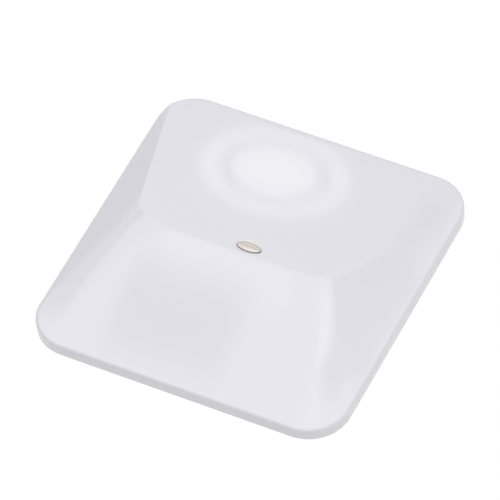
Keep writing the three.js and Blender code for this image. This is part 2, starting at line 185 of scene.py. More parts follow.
class Value:
    """A number, colour or vector that varies over a surface."""

    def __init__(self, finish, socket):
        self.finish = finish
        self.socket = socket

    def math(self, operation, first, second):
        return self.finish.node("ShaderNodeMath", {"operation": operation}, {0: first, 1: second})

    def __add__(self, other):
        return self.math("ADD", self, other)

    def __radd__(self, other):
        return self.math("ADD", other, self)

    def __rsub__(self, other):
        return self.math("SUBTRACT", other, self)

    def __mul__(self, other):
        return self.math("MULTIPLY", self, other)

    def blend(self, low, high):
        """Colour low where this value is 0, and colour high where it is 1."""
        settings = {"data_type": "RGBA"}
        inputs = {0: self, 6: (*low, 1), 7: (*high, 1)}
        return self.finish.node("ShaderNodeMix", settings, inputs, output=2)


class Nodes:
    """A node tree that is built up by calls."""

    def __init__(self, tree):
        self.tree = tree

    def node(self, kind, settings=None, inputs=None, output=0):
        made = self.tree.nodes.new(kind)
        for name, value in (settings or {}).items():
            setattr(made, name, value)
        for key, value in (inputs or {}).items():
            self.feed(made.inputs[key], value)
        return Value(self, made.outputs[output])

    def feed(self, socket, value):
        if isinstance(value, Value):
            self.tree.links.new(value.socket, socket)
        else:
            socket.default_value = value


class Finish(Nodes):
    """A material: one shader, with its uniform sockets set and its varying ones fed."""

    def __init__(self, name, **uniform):
        self.material = bpy.data.materials.new(name)
        self.material.use_nodes = True
        super().__init__(self.material.node_tree)
        self.shader = self.tree.nodes["Principled BSDF"]
        for socket, value in uniform.items():
            self.shader.inputs[socket.replace("_", " ")].default_value = value

    def place(self):
        """Where a point is on the piece, in metres."""
        return self.node("ShaderNodeTexCoord", output="Object")

    def cloud(self, size, detail=3, squeeze=(1, 1, 1)):
        """Soft noise from 0 to 1 whose lumps are about size millimetres across."""
        at = self.node("ShaderNodeMapping", None, {"Vector": self.place(), "Scale": squeeze})
        inputs = {"Vector": at, "Scale": 1 / (size * mm), "Detail": detail}
        return self.node("ShaderNodeTexNoise", None, inputs)

    def shade(self, **varying):
        for socket, value in varying.items():
            self.feed(self.shader.inputs[socket.replace("_", " ")], value)
        return self

    def relief(self, height, depth):
        """Surface relief of so many millimetres where height goes from 0 to 1."""
        inputs = {"Height": height, "Distance": depth * mm, "Strength": 1}
        return self.shade(Normal=self.node("ShaderNodeBump", None, inputs))


# %% [markdown]
# ## White moulded plastic
# The cover is injection-moulded ABS in a cool white, taken from a polished tool: the surface is
# smooth and mirrors its surroundings softly. Nothing moulded is perfectly even, so the tint
# drifts by two percent, the gloss wanders where the melt cooled at different speeds, and the face
# has the shallow orange-peel of a moulding.

# %% Plastic


def moulded_plastic():
    plastic = Finish("white_moulded_plastic", IOR=1.5)
    drift = plastic.cloud(30)
    peel = plastic.cloud(2.5, detail=2)
    plastic.shade(
        Base_Color=drift.blend((0.690, 0.684, 0.727), (0.704, 0.697, 0.741)),
        Roughness=0.055 + drift * 0.025,
    )
    return plastic.relief(peel, 0.0015).material


white_plastic = moulded_plastic()
print("made", white_plastic.name)

# %% [markdown]
# ## Metals
# Turned metal shows the feed marks of the tool as fine rings, and it dulls unevenly as it is
# handled. The brass and the plated tip share that recipe, and only the colour, the gloss and the
# depth of the rings differ. Rolled and plated sheet has no rings: its grain runs along the sheet.

# %% Metals
feed = 0.18 * mm
dulling = 0.12


def turned_metal(name, dark, light, roughness, ring_depth):
    metal = Finish(name, Metallic=1.0)
    tarnish = metal.cloud(6)
    x, y, z = [metal.node("ShaderNodeSeparateXYZ", None, {0: metal.place()}, k) for k in range(3)]
    along = metal.node("ShaderNodeMath", {"operation": "SQRT"}, {0: x * x + y * y}) + z
    inputs = {"W": along, "Scale": 1 / feed, "Detail": 1}
    rings = metal.node("ShaderNodeTexNoise", {"noise_dimensions": "1D"}, inputs)
    metal.shade(
        Base_Color=tarnish.blend(dark, light),
        Roughness=tarnish * dulling + (roughness - dulling / 2) + rings * 0.03,
    )
    return metal.relief(rings, ring_depth).material


def rolled_metal(name, dark, light, roughness):
    metal = Finish(name, Metallic=1.0)
    grain = metal.cloud(1.2, squeeze=(0.12, 1, 1))
    spangle = metal.cloud(9, detail=2)
    metal.shade(
        Base_Color=spangle.blend(dark, light),
        Roughness=grain * 0.1 + spangle * 0.08 + (roughness - 0.09),
    )
    return metal.relief(grain, 0.004).material


brass = turned_metal("brass", (0.60, 0.42, 0.18), (0.72, 0.53, 0.26), 0.3, ring_depth=0.002)
nickel_dark = (0.62, 0.585, 0.545)
nickel_light = (0.69, 0.65, 0.605)
nickel = turned_metal("nickel_plate", nickel_dark, nickel_light, 0.45, ring_depth=0.001)
stainless = rolled_metal("stainless", (0.56, 0.56, 0.55), (0.66, 0.66, 0.65), 0.3)
zinc = rolled_metal("zinc_steel", (0.50, 0.52, 0.55), (0.64, 0.66, 0.68), 0.38)
print("metals:", brass.name, nickel.name, stainless.name, zinc.name)

# %% [markdown]
# ## Soft and fibrous parts
# The wall gasket is cut from cellular foam, so its skin is pitted by burst cells, and each pit is
# painted darker towards its bottom as painted shade. Rubber is nearly black with a bloom that
# greys it in patches. Vulcanised fibre is pressed from layers of paper, and its fleck follows the
# sheet.

# %% Foam, rubber, fibre and acetal


def pitted_foam():
    foam = Finish("gasket_foam", Roughness=0.95)
    inputs = {"Vector": foam.place(), "Scale": 1 / (0.7 * mm)}
    pits_and_painted_shade = foam.node("ShaderNodeTexVoronoi", None, inputs)
    # The pits are painted darker towards their bottoms: painted shade on the foam's own near-black.
    foam.shade(Base_Color=pits_and_painted_shade.blend((0.018, 0.018, 0.020), (0.055, 0.055, 0.060)))
    return foam.relief(pits_and_painted_shade, 0.12).material


def soft_finish(name, dark, light, roughness, lump, depth):
    matter = Finish(name)
    bloom = matter.cloud(lump * 4)
    grit = matter.cloud(lump)
    matter.shade(
        Base_Color=bloom.blend(dark, light),
        Roughness=bloom * 0.14 + (roughness - 0.07),
    )
    return matter.relief(grit, depth).material


foam = pitted_foam()
rubber = soft_finish("black_rubber", (0.012, 0.012, 0.013), (0.030, 0.030, 0.032), 0.6, 0.8, 0.01)
fibre = soft_finish("red_fibre", (0.26, 0.045, 0.028), (0.38, 0.075, 0.045), 0.7, 0.5, 0.02)
acetal = soft_finish("blue_acetal", (0.020, 0.060, 0.150), (0.030, 0.080, 0.190), 0.4, 1.5, 0.004)
print("soft finishes:", foam.name, rubber.name, fibre.name, acetal.name)

# %% [markdown]
# ## The form of the cover
# The cover is a shallow hipped roof. Its crest runs across the face, a little below the middle.
# Above the crest one wide, nearly flat face falls to the far rim. Below it a slightly hollow
# face falls to the near rim, and two side faces fall to the left and the right, the left one
# more steeply. The near face rolls into the sides at a constant radius, and the wide face cuts
# all three at a crisp edge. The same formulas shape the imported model, so the fine mesh follows it.

# %% Sizes of the cover
half = cover_high[0]
base = cover_low[2]
corner = 11
wall = 1.6
rim_top = 4.1
rim_round = 0.95
rise = 5.5
ridge_y = -2.5
far_foot = 40.5
left_slope = 0.5
right_slope = 0.32
near_dish = 0.25
ridge_softness = 0.03
foot = half - rim_round
roll = corner - rim_round
most_height = 30
halvings = 40
print("crest at z =", rim_top + rise, "against", cover_high[2])

# %% Height of the cover


def near_run(height):
    """How far in from its foot the near face reaches a height."""
    straight = 1 - near_dish
    root = np.sqrt(straight**2 + 4 * near_dish * height / rise)
    return (root - straight) / (2 * near_dish) * (ridge_y + foot)


def beyond_level(x, y, height):
    """True outside the level line of the near and side faces at a height."""
    front = near_run(height) - foot + roll - y
    left = height / left_slope - foot + roll - x
    right = height / right_slope - foot + roll + x
    side = np.maximum(left, right)
    away = np.where((side > 0) & (front > 0), np.hypot(side, front), np.maximum(side, front))
    return away > roll


def halving(low, high, is_below):
    """The value where is_below turns false, found by halving the range."""
    for _ in range(halvings):
        middle = (low + high) / 2
        below = is_below(middle)
        low = np.where(below, middle, low)
        high = np.where(below, high, middle)
    return low


def front_and_sides(x, y):
    start = np.zeros_like(x)
    return halving(start, start + most_height, lambda h: ~beyond_level(x, y, h))


def far_face(y):
    return rise * (far_foot - y) / (far_foot - ridge_y)


def cover_top(x, y):
    """Height of the cover's outside, as a smooth minimum of the far face and the others."""
    a = far_face(y) / ridge_softness
    b = front_and_sides(x, y) / ridge_softness
    return rim_top - ridge_softness * np.logaddexp(-a, -b)


def edge_at(x):
    """Where the crisp edge crosses a line of constant x."""
    start = np.full_like(x, -foot)
    return halving(start, -start, lambda y: front_and_sides(x, y) < far_face(y))


print("height over the spray axis:", cover_top(np.zeros(1), np.zeros(1)))

# %% [markdown]
# ## A grid that follows the crest
# A plain square grid would cross the crisp edge at an angle and fray it. Here the rows of the
# grid bunch up on the edge: each column has its own rows below and above the point where the
# edge crosses it. The inside has a grid of the same kind, one wall thickness further down.

# %% The grid
straight_columns = 100
corner_columns = 14
near_rows = 76
far_rows = 56
bunching = 1.5
least_beyond = 2


def columns(grid_half, radius):
    inner = grid_half - radius
    turn = np.linspace(0, math.pi / 2, corner_columns + 1)[1:]
    right = inner + radius * np.sin(turn)
    middle = np.linspace(-inner, inner, straight_columns + 1)
    return np.concatenate([-right[::-1], middle, right])


def grid_plan(grid_half, radius):
    """x and y of every grid point, by column and row."""
    x = columns(grid_half, radius)
    inner = grid_half - radius
    over = np.maximum(0, np.abs(x) - inner)
    reach = inner + np.sqrt(np.maximum(0, radius**2 - over**2))
    edge = np.minimum(edge_at(x), reach - least_beyond)
    near = 1 - (1 - np.linspace(0, 1, near_rows + 1)) ** bunching
    far = np.linspace(0, 1, far_rows + 1)[1:] ** bunching
    below = -reach[:, None] + near * (edge + reach)[:, None]
    above = edge[:, None] + far * (reach - edge)[:, None]
    y = np.hstack([below, above])
    return np.broadcast_to(x[:, None], y.shape), y


def around(grid):
    """The indices round a block of the grid, counterclockwise from above."""
    return np.concatenate([grid[:-1, 0], grid[-1, :-1], grid[:0:-1, -1], grid[0, :0:-1]])


class Skin:
    """One side of the cover's wall: a grid with round and oval holes left in it."""

    def __init__(self, shell, grid_half, radius, drop, faces_up):
        self.shell = shell
        self.drop = drop
        self.faces_up = faces_up
        self.x, self.y = grid_plan(grid_half, radius)
        points = np.stack([self.x, self.y, self.height(self.x, self.y)], axis=-1)
        self.grid = shell.add(points.reshape(-1, 3)).reshape(self.x.shape)
        self.open = np.zeros(self.x.shape, bool)
        self.border = around(self.grid)

    def height(self, x, y):
        return cover_top(x, y) - self.drop

    def step(self, first, second):
        """A band between two loops that looks the way this skin does."""
        pair = (second, first) if self.faces_up else (first, second)
        self.shell.band(*pair)

    def hole(self, x, y, radius_x, radius_y, margin, rings):
        """Opens the grid round an oval and fills the space between them. Returns the oval."""
        inside = np.abs(self.x[:, 0] - x) < radius_x + margin
        first, last = np.flatnonzero(inside)[[0, -1]]
        block = self.y[first : last + 1]
        low = np.flatnonzero((block < y - radius_y - margin).all(axis=0))[-1]
        high = np.flatnonzero((block > y + radius_y + margin).all(axis=0))[0]
        self.open[first:last, low:high] = True
        loop = around(self.grid[first : last + 1, low : high + 1])
        start = self.shell.xy(loop)
        turn = np.arctan2((start[:, 1] - y) / radius_y, (start[:, 0] - x) / radius_x)
        oval = np.stack([x + radius_x * np.cos(turn), y + radius_y * np.sin(turn)], axis=1)
        for k in range(1, rings + 1):
            left = (1 - k / rings) ** bunching
            plan = oval + (start - oval) * left
            inner = self.shell.add(np.column_stack([plan, self.height(*plan.T)]))
            self.step(loop, inner)
            loop = inner
        return loop

    def fill(self):
        """The quads of the grid, apart from the holes."""
        g = self.grid
        for i, j in np.argwhere(~self.open[:-1, :-1]):
            quad = (g[i, j], g[i + 1, j], g[i + 1, j + 1], g[i, j + 1])
            self.shell.faces.append(quad if self.faces_up else quad[::-1])


print("the grid has", len(columns(foot, roll)), "columns and", near_rows + 1 + far_rows, "rows")

# %% [markdown]
# ## The rim
# At its border each face turns down through a fillet that starts at the face's own slope, so
# that no line shows where they meet, and ends upright, flush with the sides. Underneath there is
# a flat foot, and the far side has a shallow arch where a screwdriver prises the cover off.

# %% The rim
rim_steps = 10
foot_chamfer = 0.2
inside_round = 0.6
notch_half = 5
notch_height = 1.2
notch_reach = 3
inside_steps = 4


def outwards(xy, inner):
    """Unit vectors that point straight out of the rounded square."""
    away = xy - np.clip(xy, -inner, inner)
    return away / np.linalg.norm(away, axis=1)[:, None]


def underside(xy):
    """Height of the cover's foot: flat, apart from the arch on the far side."""
    across = np.clip(np.abs(xy[:, 0]) / notch_half, 0, 1)
    arch = np.cos(across * math.pi / 2) ** 0.5
    return base + notch_height * arch * (xy[:, 1] > half - notch_reach)


def turn_down(shell, skin, out):
    """The outer rim, from the border of the top down to the foot."""
    xy = shell.xy(skin.border)
    z = np.array([shell.points[k][2] for k in skin.border])
    small = 0.05
    slope = (skin.height(*(xy - small * out).T) - z) / small
    start = np.arctan(slope)
    radius = rim_round / (1 - np.sin(start))
    loop = skin.border
    for k in range(1, rim_steps + 1):
        turn = start + (math.pi / 2 - start) * k / rim_steps
        reach = radius * (np.sin(turn) - np.sin(start))
        drop = radius * (np.cos(start) - np.cos(turn))
        loop = shell.extend(loop, np.column_stack([xy + out * reach[:, None], z - drop]))
    side = xy + out * rim_round
    for inset, lift in ((0, foot_chamfer), (foot_chamfer, 0)):
        plan = side - out * inset
        loop = shell.extend(loop, np.column_stack([plan, underside(side) + lift]))
    return loop


def turn_up(shell, skin, out, loop):
    """The inside of the rim, from the foot up to the border of the roof."""
    xy = shell.xy(skin.border)
    z = np.array([shell.points[k][2] for k in skin.border])
    side = xy + out * inside_round
    loop = shell.extend(loop, np.column_stack([side, underside(side + out * wall)]))
    for k in range(inside_steps):
        turn = math.pi / 2 * (1 - k / inside_steps)
        plan = xy + out * inside_round * math.sin(turn)
        level = z - inside_round * (1 - math.cos(turn))
        loop = shell.extend(loop, np.column_stack([plan, level]))
    shell.band(loop, skin.border)


print("rim:", rim_steps, "steps round", rim_round, "mm, and a notch", 2 * notch_half, "mm wide")

# %% [markdown]
# ## The spray opening and the posts
# The opening is a shallow oval dish with an oval bore in its middle. Behind it an oval collar
# stands down from the roof and shields the tip. Four posts push into rubber grommets in the
# plate and hold the cover.

# %% Opening, collar and posts
opening_x = 3.8
opening_y = 2.4
bore_x = 3.3
bore_y = 1.38
dish_depth = 0.36
dish_steps = 10
dish_bow = 1.4
dish_margin = 3.5
dish_rings = 22
collar_wall = 1.2
collar_end = 6.8
collar_margin = 3
collar_rings = 8
post_x = 27
post_y = 20
post_radius = 1.5
post_end = 0.8
post_chamfer = 0.5
post_fillet = 0.8
post_margin = 1.2
post_rings = 4
fillet_steps = 4


def oval_loop(shell, loop, x, y, radius_x, radius_y, height):
    """A loop at the same angles as another one, on an oval of its own size."""
    xy = shell.xy(loop) - (x, y)
    turn = np.arctan2(xy[:, 1] / radius_y, xy[:, 0] / radius_x)
    plan = np.column_stack([x + radius_x * np.cos(turn), y + radius_y * np.sin(turn)])
    z = height(*plan.T) if callable(height) else np.full(len(loop), height)
    return shell.add(np.column_stack([plan, z]))


def bore(shell, top, roof):
    """The dish, the bore and the collar, between the hole in the top and that in the roof."""
    upper = top.hole(0, 0, opening_x, opening_y, dish_margin, dish_rings)
    for k in range(1, dish_steps + 1):
        share = k / dish_steps
        size = (opening_x + (bore_x - opening_x) * share, opening_y + (bore_y - opening_y) * share)
        lower_by = dish_depth * share**dish_bow
        ring = oval_loop(shell, upper, 0, 0, *size, lambda x, y: cover_top(x, y) - lower_by)
        top.step(upper, ring)
        upper = ring
    outer_x = bore_x + collar_wall
    outer_y = bore_y + collar_wall
    loop = roof.hole(0, 0, outer_x, outer_y, collar_margin, collar_rings)
    end = oval_loop(shell, loop, 0, 0, outer_x, outer_y, collar_end)
    shell.band(loop, end)
    inner = oval_loop(shell, upper, 0, 0, bore_x, bore_y, collar_end)
    top.step(upper, inner)
    return end, inner


def post(shell, roof, x, y):
    foot_radius = post_radius + post_fillet
    loop = roof.hole(x, y, foot_radius, foot_radius, post_margin, post_rings)
    z = float(roof.height(np.array([float(x)]), np.array([float(y)]))[0])
    for k in range(1, fillet_steps + 1):
        turn = math.pi / 2 * k / fillet_steps
        radius = post_radius + post_fillet * (1 - math.sin(turn))
        level = z - post_fillet * (1 - math.cos(turn))
        ring = oval_loop(shell, loop, x, y, radius, radius, level)
        shell.band(loop, ring)
        loop = ring
    for inset, lift in ((0, post_chamfer), (post_chamfer, 0)):
        radius = post_radius - inset
        ring = oval_loop(shell, loop, x, y, radius, radius, post_end + lift)
        shell.band(loop, ring)
        loop = ring
    shell.faces.append(tuple(loop[::-1]))


print("dish, mm:", 2 * opening_x, "by", 2 * opening_y, "bore, mm:", 2 * bore_x, "by", 2 * bore_y)

# %% [markdown]
# The bore and the outside of its collar have different numbers of points, so `stitch` closes the
# flat ring between them by walking round both loops at once. The cover is then one closed skin
# with no boolean cut in it.

# %% Make the cover


def face_cover():
    shell = Shell()
    top = Skin(shell, foot, roll, 0, True)
    roof = Skin(shell, half - wall - inside_round, corner - wall - inside_round, wall, False)
    out = outwards(shell.xy(top.border), foot - roll)
    outer_foot = turn_down(shell, top, out)
    out = outwards(shell.xy(roof.border), half - corner)
    turn_up(shell, roof, out, outer_foot)
    end, inner = bore(shell, top, roof)
    print("collar loops:", len(end), len(inner))
    stitch(shell, end, inner)
    for x in (-post_x, post_x):
        for y in (-post_y, post_y):
            post(shell, roof, x, y)
    top.fill()
    roof.fill()
    return shell.make("face_cover_shell", "cover", "cover_plastic", white_plastic, "face_cover")


def stitch(shell, outer, inner):
    """Closes the flat ring between two loops round the same centre, whatever their counts."""
    angle = [np.arctan2(*shell.xy(loop).T[::-1]) % (2 * math.pi) for loop in (outer, inner)]
    outer = outer[np.argsort(angle[0])]
    inner = inner[np.argsort(angle[1])]
    a, b = np.sort(angle[0]), np.sort(angle[1])
    i = j = 0
    while i < len(outer) or j < len(inner):
        ahead_outer = a[i + 1] if i + 1 < len(a) else 2 * math.pi + a[0]
        ahead_inner = b[j + 1] if j + 1 < len(b) else 2 * math.pi + b[0]
        p, q = outer[i % len(outer)], inner[j % len(inner)]
        if j >= len(inner) or (i < len(outer) and ahead_outer <= ahead_inner):
            i += 1
            shell.faces.append((p, q, outer[i % len(outer)]))
        else:
            j += 1
            shell.faces.append((p, q, inner[j % len(inner)]))


cover = face_cover()

# %% [markdown]
# ## Turned pieces
# Most of what is behind the cover is turned on a lathe or pressed flat, and shares one axis.
# A curve with a Screw modifier would do, but an outline of radius and height that may also vary
# round the axis gives hexagons, threads, flats and teeth with the same few lines. Real edges
# are broken, so `soften` rounds the corners of an outline before it is turned.

# %% The lathe
facets = 96


def ring_at(radius, z, count=facets, centre=(0, 0)):
    turn = np.linspace(0, 2 * math.pi, count, endpoint=False)
    r = radius(turn) if callable(radius) else np.full(count, float(radius))
    level = z(turn) if callable(z) else np.full(count, float(z))
    return np.column_stack([centre[0] + r * np.cos(turn), centre[1] + r * np.sin(turn), level])


def turn_outline(shell, outline, closed=True, count=facets, centre=(0, 0)):
    """Turns an outline that runs outwards along the top, down, and back in underneath."""
    loops = [shell.add(ring_at(r, z, count, centre)) for r, z in outline]
    if closed:
        for first, second in zip(loops, loops[1:] + loops[:1]):
            shell.band(first, second)
    else:
        shell.stack(loops)


def curve(start, control, end, t):
    """A quadratic curve from start to end, pulled towards control."""
    return (1 - t) ** 2 * start + 2 * t * (1 - t) * control + t**2 * end


def soften(outline, size, closed=True):
    """The outline with each corner rounded."""
    points = [np.array(p, float) for p in outline]
    made = []
    for k, corner_point in enumerate(points):
        at_end = k in (0, len(points) - 1)
        if at_end and not closed:
            made.append(tuple(corner_point))
            continue
        before = points[k - 1] - corner_point
        after = points[(k + 1) % len(points)] - corner_point
        start = corner_point + before * min(size / np.linalg.norm(before), 0.45)
        end = corner_point + after * min(size / np.linalg.norm(after), 0.45)
        for t in (0, 1 / 3, 2 / 3, 1):
            made.append(tuple(curve(start, corner_point, end, t)))
    return made


def ring_outline(inner, outer, low, high):
    return [(inner, high), (outer, high), (outer, low), (inner, low)]


def body_of(node):
    return frame["nodes"][node]["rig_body"]


def turned_piece(node, slot, outline, closed=True, count=facets, centre=(0, 0)):
    shell = Shell()
    turn_outline(shell, outline, closed, count, centre)
    return shell.make(node + "_turned", body_of(node), slot, finish_of[slot], node)


finish_of = {
    "cover_plastic": white_plastic,
    "zinc_steel": zinc,
    "gasket_foam": foam,
    "black_rubber": rubber,
    "brass": brass,
    "nickel_plate": nickel,
    "stainless": stainless,
    "red_fibre": fibre,
    "acetal": acetal,
}
print("finishes for slots:", sorted(finish_of))

# %% [markdown]
# ## The spray tip
# The tip is a plated nozzle whose nose is a low oval dome that stands just proud of the dish
# round it, with a fine slot sawn across it. Water meets itself under the slot and leaves as a
# flat fan. The nose is a height map on rings, so that the slot needs no boolean cut. The rest is
# turned.

# %% Sizes of the tip
tip_low, tip_high = box_of("spray_tip")
tip_top = 9.56
nose_x = 3.18
nose_y = 1.27
nose_height = 0.12
nose_start = 6.5
slot_depth = 0.12
slot_half = 0.06
slot_flank = 0.05
neck = 3
neck_drop = 0.6
flange_thickness = 1.8
tip_edge = 0.2
print("the packed tip reaches z =", tip_high[2])

# %% Make the tip
nose_rings = 64
nose_facets = 160


def nose(x, y):
    """Height of the nose: an oval dome, cut right across by the slot."""
    inside = np.clip(1 - (x / nose_x) ** 2 - (y / nose_y) ** 2, 0, 1)
    dome = tip_top - nose_height + nose_height * np.sqrt(inside)
    flank = np.clip((slot_half - np.abs(y)) / slot_flank, 0, 1)
    return dome - slot_depth * flank


def spray_tip():
    shell = Shell()
    loops = []
    for k in range(nose_rings + 1):
        share = math.sin((k + 0.5) / (nose_rings + 0.5) * math.pi / 2)
        plan = ring_at(1, 0, nose_facets)[:, :2] * (share * nose_x, share * nose_y)
        loops.append(shell.add(np.column_stack([plan, nose(*plan.T)])))
    loops.append(shell.add(ring_at(1, nose_start, nose_facets) * (nose_x, nose_y, 1)))
    flange = tip_high[0]
    shoulder = tip_low[2] + flange_thickness
    below = [
        (neck, nose_start - neck_drop),
        (neck, shoulder + tip_edge),
        (neck + tip_edge, shoulder),
        (flange - tip_edge, shoulder),
        (flange, shoulder - tip_edge),
        (flange, tip_low[2] + tip_edge),
        (flange - tip_edge, tip_low[2]),
    ]
    loops += [shell.add(ring_at(radius, z, nose_facets)) for radius, z in below]
    shell.stack(loops)
    return shell.make("spray_tip_turned", "base", "nickel_plate", nickel, "spray_tip")


tip = spray_tip()

# %% [markdown]
# ## Threads and hexagons
# A screw thread is a V that climbs one pitch per turn. As a radius that depends on the turn and
# on the height it needs no boolean cut, and a flat milled across it is simply a smaller radius
# wherever the flat is nearer. A hexagon is the same idea with six flats.

# %% Thread, flat and hexagon
rows_per_pitch = 16
flank_gain = 1.25
crest_flat = 0.12


def threaded(radius, depth, pitch, z):
    """Radius round a thread at height z: a blunt V that follows the helix."""

    def at(turn):
        phase = (z / pitch - turn / (2 * math.pi)) % 1
        wave = np.abs(2 * phase - 1)
        return radius - depth * np.clip(flank_gain * wave - crest_flat, 0, 1)

    return at


def two_flats(radius, flat):
    """A radius, cut by two flats that face +X and -X."""

    def at(turn):
        full = radius(turn) if callable(radius) else radius
        return np.minimum(full, flat / np.maximum(np.abs(np.cos(turn)), 1e-6))

    return at


def hexagon(across_flats, limit):
    """Radius round a hexagon whose corners are turned down to a limit."""

    def at(turn):
        sector = math.pi / 3
        from_middle = (turn % sector) - sector / 2
        return np.minimum(across_flats / 2 / np.cos(from_middle), limit)

    return at


def thread_rows(radius, depth, pitch, top, bottom, wrap=lambda r: r):
    """Outline rows down a thread, with a lead-in at each end."""
    rows = []
    count = int((top - bottom) / pitch * rows_per_pitch)
    for z in np.linspace(top, bottom, count):
        lead = min(1, (top - z) / pitch, (z - bottom) / pitch)
        rows.append((wrap(threaded(radius, depth * max(lead, 0), pitch, z)), z))
    return rows


print("thread rows down 10 mm at 1.5 mm pitch:", len(thread_rows(10, 0.9, 1.5, 0, -10)))

# %% [markdown]
# ## The brass body
# One bar of brass makes the body: a hexagonal flange that clamps the plate, a threaded stem with
# two flats that stop it turning in the plate, and a 3/8 inch pipe thread. Inside, the socket
# holds the tip and the strainer, and a six-lobed web guides the poppet's stem.

# %% Sizes of the body
body_low, body_high = box_of("nozzle_body")
inlet_end = body_low[2]
flange_front = body_high[2]
flange_back = flange_front - 1.5
flange_across = 26
flange_corner = 15
flange_edge = 14
flange_chamfer = 0.5
stem_radius = 10
stem_flat = 9.2
stem_start = -1.2
stem_end = -24
stem_pitch = 1.5
stem_depth = 0.9
undercut = 1.2
inlet_radius = 8.33
inlet_pitch = 25.4 / 18
inlet_depth = 0.85
inlet_relief = 1
socket_radius = 6.2
socket_floor = -4.2
strainer_bore = 4.6
web_top = -17
web_bottom = -18.6
valve_bore = 5
seat_back = -33
ring_back = -34.1
ring_groove = 5.6
ring_play = 0.3
mouth_edge = 0.4
socket_edge = 0.3
web_clearance = 1.7
lobe_depth = 2.4
lobes = 6
body_count = 144
print("body, mm:", body_low.round(2), body_high.round(2))

# %% Make the body


def web_hole(turn):
    """A hole that guides a stem between six lobes for the water."""
    return web_clearance + lobe_depth * np.clip(np.cos(lobes * turn) * 2, 0, 1)


def flatted(radius):
    return two_flats(radius, stem_flat)


def nozzle_body():
    flange = [
        (hexagon(flange_across, flange_edge), flange_front),
        (hexagon(flange_across, flange_corner), flange_front - flange_chamfer),
        (hexagon(flange_across, flange_corner), flange_back),
    ]
    root = flatted(stem_radius - stem_depth)
    stem = [(root, flange_back), (root, stem_start)]
    stem += thread_rows(stem_radius, stem_depth, stem_pitch, stem_start, stem_end + 1, flatted)
    stem += [(root, stem_end)]
    inlet_start = stem_end - undercut
    inlet = [(inlet_radius - inlet_relief, z) for z in (stem_end, inlet_start)]
    inlet += thread_rows(inlet_radius, inlet_depth, inlet_pitch, inlet_start, inlet_end + 0.6)
    inlet += [(inlet_radius - 1.1, inlet_end), (valve_bore + mouth_edge, inlet_end)]
    inside = [
        (valve_bore, inlet_end + mouth_edge),
        (valve_bore, ring_back - ring_play),
        (ring_groove, ring_back - ring_play),
        (ring_groove, seat_back),
        (valve_bore, seat_back),
        (valve_bore, web_bottom),
        (web_hole, web_bottom),
        (web_hole, web_top),
        (strainer_bore, web_top),
        (strainer_bore, socket_floor),
        (socket_radius, socket_floor),
        (socket_radius, flange_front - socket_edge),
        (socket_radius + socket_edge, flange_front),
    ]
    return turned_piece("nozzle_body", "brass", flange + stem + inlet + inside, count=body_count)


nozzle = nozzle_body()

# %% [markdown]
# ## Nuts, washers and seals
# The lock nut clamps the plate from behind over a washer whose twisted teeth bite both sides.
# The tip nut holds the tip down. Gaskets and discs are plain rings with broken edges, and an
# O-ring is a ring of round section.

# %% Nuts
clearance = 0.3


def lock_nut():
    low, high = box_of("lock_nut")
    across_flats = 27
    chamfer = 1.1
    steps = 6
    bore = stem_radius + clearance
    bore_edge = 0.5
    corner_radius = across_flats / math.sqrt(3)
    front = []
    back = []
    for k in range(steps + 1):
        limit = across_flats / 2 + (corner_radius - across_flats / 2) * k / steps
        front.append((hexagon(across_flats, limit), high[2] - chamfer * k / steps))
        back.append((hexagon(across_flats, limit), low[2] + chamfer * k / steps))
    outline = [(bore + bore_edge, high[2])] + front + back[::-1]
    outline += [(bore + bore_edge, low[2]), (bore, low[2] + bore_edge)]
    outline += [(bore, high[2] - bore_edge)]
    return turned_piece("lock_nut", "brass", outline, count=body_count)


def tip_nut():
    low, high = box_of("tip_nut")
    across_flats = 14
    corner_radius = 7.7
    face_radius = 7.1
    thread_radius = socket_radius - 0.2
    thread_depth = 0.5
    thread_pitch = 0.8
    head_back = flange_front + 0.3
    bore = neck + clearance
    bore_edge = 0.2
    outline = [
        (bore + bore_edge, high[2]),
        (hexagon(across_flats, face_radius), high[2]),
        (hexagon(across_flats, corner_radius), high[2] - 0.25),
        (hexagon(across_flats, corner_radius), head_back),
        (thread_radius - thread_depth, head_back),
    ]
    outline += thread_rows(thread_radius, thread_depth, thread_pitch, head_back, low[2])
    outline += [(bore, low[2]), (bore, high[2] - bore_edge)]
    return turned_piece("tip_nut", "brass", outline)


lock_nut()
tip_nut()

# %% Washers and seals
edge_break = 0.12
section_points = 20
# The inner radius and the finish of each.
plain_rings = {
    "flange_gasket": (stem_radius + clearance, "red_fibre"),
    "inlet_washer": (inlet_radius + clearance, "red_fibre"),
    "flow_disc": (0.8, "stainless"),
    "strainer_ring": (2.6, "acetal"),
    "poppet_seal": (1.3, "black_rubber"),
}
for node, (inner, slot) in plain_rings.items():
    low, high = box_of(node)
    turned_piece(node, slot, soften(ring_outline(inner, high[0], low[2], high[2]), edge_break))


def o_ring(node):
    low, high = box_of(node)
    section = (high[2] - low[2]) / 2
    middle = (high[2] + low[2]) / 2
    turn = np.linspace(0, 2 * math.pi, section_points, endpoint=False)
    radius = high[0] - section
    outline = [(radius - section * math.cos(t), middle + section * math.sin(t)) for t in turn]
    return turned_piece(node, "black_rubber", outline)


o_ring("tip_o_ring")
o_ring("seat_o_ring")


